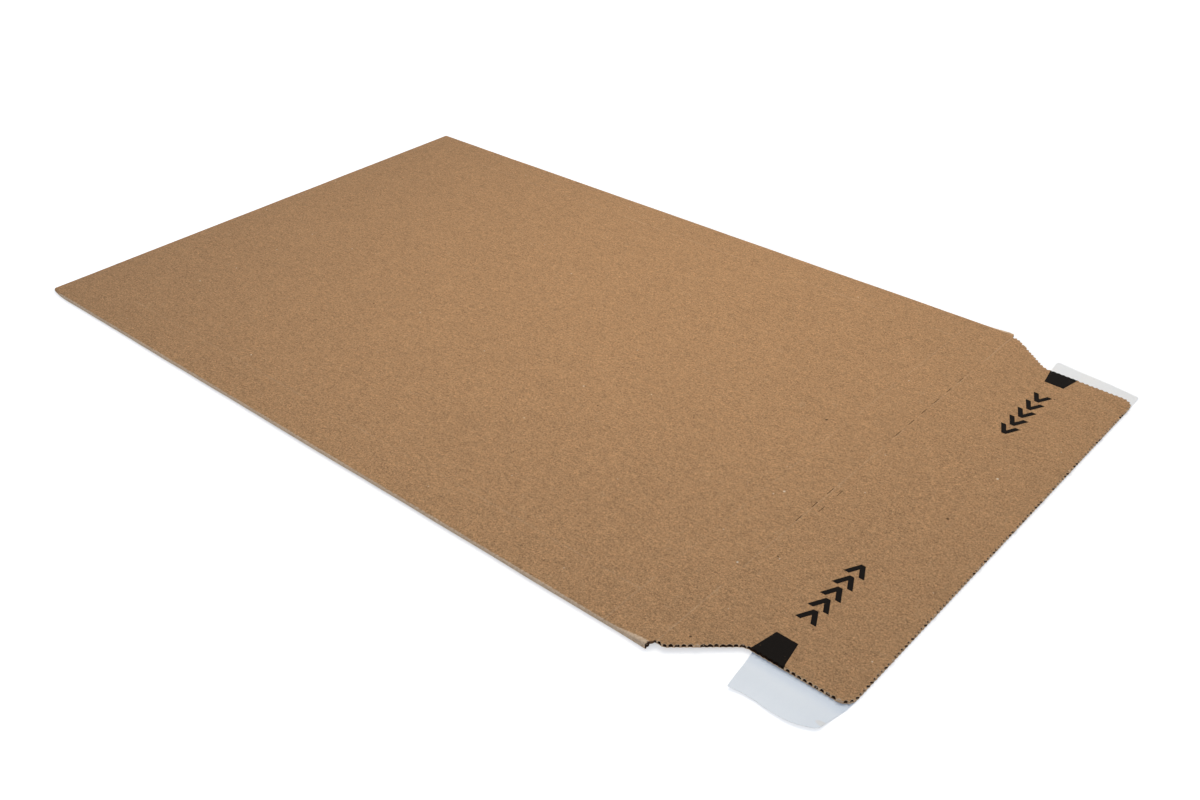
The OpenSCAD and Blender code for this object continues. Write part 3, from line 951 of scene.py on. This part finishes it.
def build_release_liner():
    """The liner under the flap, whose two pull tabs drop to the table."""
    mesh = bmesh.new()
    near_tab = [(23.9, -100), (24.4, -104), (25.6, -112), (27.0, -120.2), (27.3, -120.4),
                (32, -119.5), (36.5, -119.5), (40, -119.9), (43, -120.1), (46.3, -120.1),
                (48.5, -119.9), (50.7, -119.4), (52.8, -118.6), (54.6, -117.8), (55.8, -117.0),
                (56.5, -115.9), (57.3, -111), (58.6, -104.5), (58.8, -100)]
    far_tab = [(58.7, 100), (58.7, 108), (58.5, 112.0), (55.5, 112.5), (48.0, 113.5),
               (41.0, 114.3), (32.0, 115.2), (23.4, 116.1), (23.0, 115.6), (23.4, 108),
               (23.7, 100)]
    mesh.faces.new([mesh.verts.new((u, y, 0)) for u, y in near_tab + far_tab])
    for u in spaced(26, 56.5, 2.2):
        bisect(mesh, mesh.faces, (u, 0, 0), (1, 0, 0))
    for y in spaced(-118, -98, 1.0) + spaced(-96, 100, 8.0) + spaced(101, 115, 1.0):
        bisect(mesh, mesh.faces, (0, y, 0), (0, 1, 0))
    thick = sizes().liner_thickness / MM
    for vert in mesh.verts:
        vert.co = liner_surface(vert.co.x, vert.co.y)
    bmesh.ops.recalc_face_normals(mesh, faces=mesh.faces)
    if sum(f.normal.z for f in mesh.faces) < 0:
        bmesh.ops.reverse_faces(mesh, faces=mesh.faces)
    bmesh.ops.solidify(mesh, geom=mesh.faces[:], thickness=thick)
    bmesh.ops.recalc_face_normals(mesh, faces=mesh.faces)
    return make_piece("liner_paper", mesh, ["liner"])


def liner_surface(u, y):
    """Upper face of the liner: under the flap it follows the board, beyond it it drops."""
    thick = sizes().liner_thickness / MM
    under = flap_point(u, y, -STRIP_T + thick)
    near_gap, far_gap = FLAP_NEAR - y, y - FLAP_FAR
    out = max(near_gap, far_gap)
    if out <= -3:
        return under
    rest = thick + 0.02 + 0.2 * (1 - eased(u, 24, 32))
    lift = 0.0
    if near_gap > 0:
        # The near tab waves: its outer corners stay off the table
        across = (u - LINER_NEAR_U) / (LINER_FAR_U - LINER_NEAR_U)
        lift = 0.8 * eased(near_gap, 4, 15) * (0.5 + 0.5 * math.cos(math.pi * 1.2 * across) ** 2)
    elif far_gap > 0:
        lift = 0.8 * eased(far_gap, 1, 8)
    share = eased(out, -3, 6)
    z = under.z * (1 - share) + (rest + lift) * share
    return Vector((under.x, y, z))


def build_burrs():
    """Tufts of torn fibre that stand in some notches of the flap's cut edge."""
    edge = FlapEdge()
    chance = random.Random(5)
    mesh = bmesh.new()
    picks = list(edge.nicks)
    while len(picks) < sizes().burr_count:
        picks.append(chance.randrange(edge.teeth))
    for number, tooth in enumerate(picks[:sizes().burr_count]):
        s = edge.first + edge.pitch * (tooth + 0.5)
        if edge.in_mark(s):
            continue
        point, inward = edge.at(s)
        big = number < len(edge.nicks)
        base = point + inward * (edge.paper(s) + 0.05)
        turn = math.atan2(inward.y, inward.x)
        size = Vector([chance.uniform(*span) for span in ((0.3, 0.45), (0.45, 0.9), (0.3, 0.5))])
        if not big:
            size *= 0.55
        ball = bmesh.ops.create_icosphere(mesh, subdivisions=2, radius=1.0)["verts"]
        w = chance.uniform(0.75, 1.0) if big else chance.uniform(0.3, 1.0)
        for vert in ball:
            bump = 1 + 0.5 * noise.noise(vert.co * 1.7 + Vector((number * 3.1, 0, 0)))
            spot = Vector((vert.co.x * size.x, vert.co.y * size.y, vert.co.z * size.z)) * bump
            spot.rotate(Matrix.Rotation(turn, 3, "Z"))
            vert.co = flap_point(base.x + spot.x, base.y + spot.y, w + spot.z)
        for _ in range(5 if big else 3):
            add_hair(mesh, chance, base, turn, w, big)
    # Extruding a fibre leaves its root open
    bmesh.ops.holes_fill(mesh, edges=mesh.edges, sides=HAIR_SIDES)
    bmesh.ops.recalc_face_normals(mesh, faces=mesh.faces)
    return make_piece("edge_burrs", mesh, ["burr"])


def add_hair(mesh, chance, base, turn, w, big):
    """One loose fibre: a thin tapered tube that bends away from the edge."""
    ring = bmesh.ops.create_circle(mesh, cap_ends=True, segments=HAIR_SIDES, radius=0.035)["verts"]
    length = chance.uniform(0.5, 1.1) * (1.0 if big else 0.7)
    heading = turn + math.pi + chance.uniform(-1.1, 1.1)
    rise, curl = chance.uniform(-0.25, 0.35), chance.uniform(-0.9, 0.9)
    beside = turn + math.pi / 2
    shift = Vector((math.cos(beside), math.sin(beside))) * chance.uniform(-0.4, 0.4)
    frame_x = Vector((math.cos(heading), math.sin(heading), rise)).normalized()
    spin = frame_x.to_track_quat("Z", "Y").to_matrix()
    rings = [(v, v.co.copy()) for v in ring]
    face = next(f for v in ring for f in v.link_faces)
    steps = 5
    path = [Vector((base.x + shift.x, base.y + shift.y, w))]
    for k in range(steps):
        bent = heading + curl * (k + 1) / steps
        path.append(path[-1] + Vector((math.cos(bent), math.sin(bent), rise * (1 - k / steps)))
                    * (length / steps))
    for vert, flat in rings:
        vert.co = flap_point(*(path[0] + spin @ flat))
    for k in range(1, steps + 1):
        face = bmesh.ops.extrude_discrete_faces(mesh, faces=[face])["faces"][0]
        thin = 1 - 0.75 * k / steps
        for vert, (_, flat) in zip(face.verts, rings):
            vert.co = flap_point(*(path[k] + spin @ (flat * thin)))


def dress(node, finish):
    """Gives a solid its finish."""
    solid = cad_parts[node]
    solid.data.materials.clear()
    solid.data.materials.append(finish_of(finish))


class BuildSleeveBoard(bpy.types.Operator):
    """Fold the front and the back board round the pocket"""
    bl_idname = "envelope.sleeve_board"
    bl_label = "Sleeve Board"

    def execute(self, context):
        piece = build_sleeve_board()
        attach(piece, "sleeve")
        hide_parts("sleeve")
        return {"FINISHED"}


class BuildFlapBoard(bpy.types.Operator):
    """Cut the closing flap with its teeth, creases and perforation"""
    bl_idname = "envelope.flap_board"
    bl_label = "Flap Board"

    def execute(self, context):
        piece = build_flap_board()
        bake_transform(piece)
        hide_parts("closing_flap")
        return {"FINISHED"}


class BuildReleaseLiner(bpy.types.Operator):
    """Lay the release liner under the flap, with its two pull tabs"""
    bl_idname = "envelope.release_liner"
    bl_label = "Release Liner"

    def execute(self, context):
        piece = build_release_liner()
        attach(piece, "closing_flap")
        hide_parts("release_liner")
        return {"FINISHED"}


class BuildEdgeBurrs(bpy.types.Operator):
    """Leave tufts of torn fibre on the flap's cut edge"""
    bl_idname = "envelope.edge_burrs"
    bl_label = "Edge Burrs"

    def execute(self, context):
        piece = build_burrs()
        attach(piece, "closing_flap")
        return {"FINISHED"}


class DressStripAndPrint(bpy.types.Operator):
    """Give the adhesive, the tear tape and the printed marks their finishes"""
    bl_idname = "envelope.strip_and_print"
    bl_label = "Strip and Print"

    def execute(self, context):
        dress("adhesive_strip", "adhesive")
        dress("tear_tape", "tape")
        for node in ("near_tear_mark", "far_tear_mark", "near_arrows", "far_arrows"):
            dress(node, "ink")
        return {"FINISHED"}


class BuildStage(bpy.types.Operator):
    """Set the floor, the light and the camera"""
    bl_idname = "envelope.stage"
    bl_label = "Stage"

    def execute(self, context):
        build_floor()
        build_light()
        build_camera()
        return {"FINISHED"}


# Place of the key lamp in metres, how strongly it and the rest light the floor below it,
# the colour of the even light, and how bright the camera sees the floor
KEY_SPOT = (0.015, 0.078, 0.373)
KEY_LEVEL = 0.58
EVEN_LEVEL = 0.32
EVEN_LIGHT = (0.32, 0.36, 0.43)
FLOOR_SEEN = 1.04


def pale_floor():
    """Matt floor that the camera sees as white wherever no shadow falls on it."""
    material = bpy.data.materials.new("pale floor")
    nodes = Nodes(material)
    # The key's light falls off from below the lamp; the glow makes up for it
    beside = nodes.node("ShaderNodeVectorMath", {"operation": "DISTANCE"},
                        {0: nodes.node("ShaderNodeTexCoord", outlet="Object"),
                         1: (KEY_SPOT[0], KEY_SPOT[1], 0)}, "Value")
    near = KEY_SPOT[2] ** 2 / (beside * beside + KEY_SPOT[2] ** 2)
    lit = near * near * KEY_LEVEL + EVEN_LEVEL
    missing = nodes.math("MAXIMUM", FLOOR_SEEN - lit * colours().floor[0], 0.0)
    glow = nodes.node("ShaderNodeEmission", None, {"Color": missing})
    matt = nodes.node("ShaderNodeBsdfDiffuse", None, {"Color": colours().floor})
    both = nodes.node("ShaderNodeAddShader", None, {0: matt, 1: glow})
    seen = nodes.node("ShaderNodeLightPath", outlet="Is Camera Ray")
    choice = nodes.node("ShaderNodeMixShader", None, {0: seen, 1: matt, 2: both})
    nodes.close("ShaderNodeOutputMaterial", choice)
    return material


def build_floor():
    mesh = bmesh.new()
    bmesh.ops.create_grid(mesh, x_segments=2, y_segments=2, size=6000)
    data = bpy.data.meshes.new("floor")
    bmesh.ops.scale(mesh, vec=(MM, MM, MM), verts=mesh.verts)
    bmesh.ops.translate(mesh, vec=(0, 0, -0.0001), verts=mesh.verts)
    mesh.to_mesh(data)
    mesh.free()
    data.materials.append(pale_floor())
    floor = add_object("floor", data)


def build_light():
    scene = bpy.context.scene
    scene.view_settings.view_transform = "Standard"
    if scene.world is None:
        scene.world = bpy.data.worlds.new("studio")
    # White where the camera, a mirror or glass looks at it, and a cool even light elsewhere
    nodes = Nodes(scene.world)
    camera, glossy, through = [nodes.node("ShaderNodeLightPath", outlet=ray) for ray in
                               ("Is Camera Ray", "Is Glossy Ray", "Is Transmission Ray")]
    shown = nodes.math("MAXIMUM", camera, nodes.math("MAXIMUM", glossy, through))
    sky = nodes.node("ShaderNodeBackground", None,
                     {"Color": nodes.mix(shown, EVEN_LIGHT, (1, 1, 1))})
    nodes.close("ShaderNodeOutputWorld", sky)
    lamps = [("key", KEY_SPOT, 0.89, 0.3, (0.02, 0.07, 0), (1.0, 0.91, 0.75)),
             ("fill", (0.3, -0.75, 0.75), 0.8, 1.0, (0, 0, 0), (0.95, 1.0, 1.12)),
             ("side", (-0.8, -0.1, 0.6), 0.5, 0.8, (-0.1, 0, 0), (0.85, 1.0, 1.25))]
    for name, spot, power, size, aim, shade in lamps:
        data = bpy.data.lights.new(name, "AREA")
        data.energy = power
        data.size = size
        data.color = shade
        lamp = add_object(name, data)
        lamp.location = spot
        lamp.visible_camera = False
        lamp.rotation_mode = "QUATERNION"
        lamp.rotation_quaternion = (Vector(aim) - Vector(spot)).to_track_quat("-Z", "Y")


def build_camera():
    data = bpy.data.cameras.new("camera")
    data.lens = 37.92
    data.sensor_width = 36.0
    data.sensor_fit = "HORIZONTAL"
    data.clip_start = 0.01
    camera = add_object("camera", data)
    right = Vector((0.75380, 0.65707, -0.00622))
    up = Vector((-0.35664, 0.41706, 0.83598))
    back = Vector((0.55190, -0.62794, 0.54872))
    camera.matrix_world = Matrix.Translation((0.32281, -0.34453, 0.27689)) @ Matrix(
        (right, up, back)).transposed().to_4x4()
    bpy.context.scene.camera = camera


class EnvelopePanel(bpy.types.Panel):
    bl_label = "Cardboard Envelope"
    bl_idname = "VIEW3D_PT_cardboard_envelope"
    bl_space_type = "VIEW_3D"
    bl_region_type = "UI"
    bl_category = "Envelope"

    def draw(self, context):
        layout = self.layout
        for operator in OPERATORS:
            layout.operator(operator.bl_idname)
        for group in (context.scene.envelope_sizes, context.scene.envelope_colours):
            box = layout.box()
            for name in group.bl_rna.properties.keys():
                if name not in {"rna_type", "name"}:
                    box.prop(group, name)


OPERATORS = (BuildSleeveBoard, BuildFlapBoard, BuildReleaseLiner, BuildEdgeBurrs,
             DressStripAndPrint, BuildStage)
CLASSES = (EnvelopeSizes, EnvelopeColours, *OPERATORS, EnvelopePanel)


def register():
    for cls in CLASSES:
        bpy.utils.register_class(cls)
    bpy.types.Scene.envelope_sizes = PointerProperty(type=EnvelopeSizes)
    bpy.types.Scene.envelope_colours = PointerProperty(type=EnvelopeColours)


def unregister():
    del bpy.types.Scene.envelope_colours
    del bpy.types.Scene.envelope_sizes
    for cls in reversed(CLASSES):
        bpy.utils.unregister_class(cls)


def main():
    register()
    for operator in OPERATORS:
        group, name = operator.bl_idname.split(".")
        getattr(getattr(bpy.ops, group), name)()


if __name__ == "__main__":
    main()
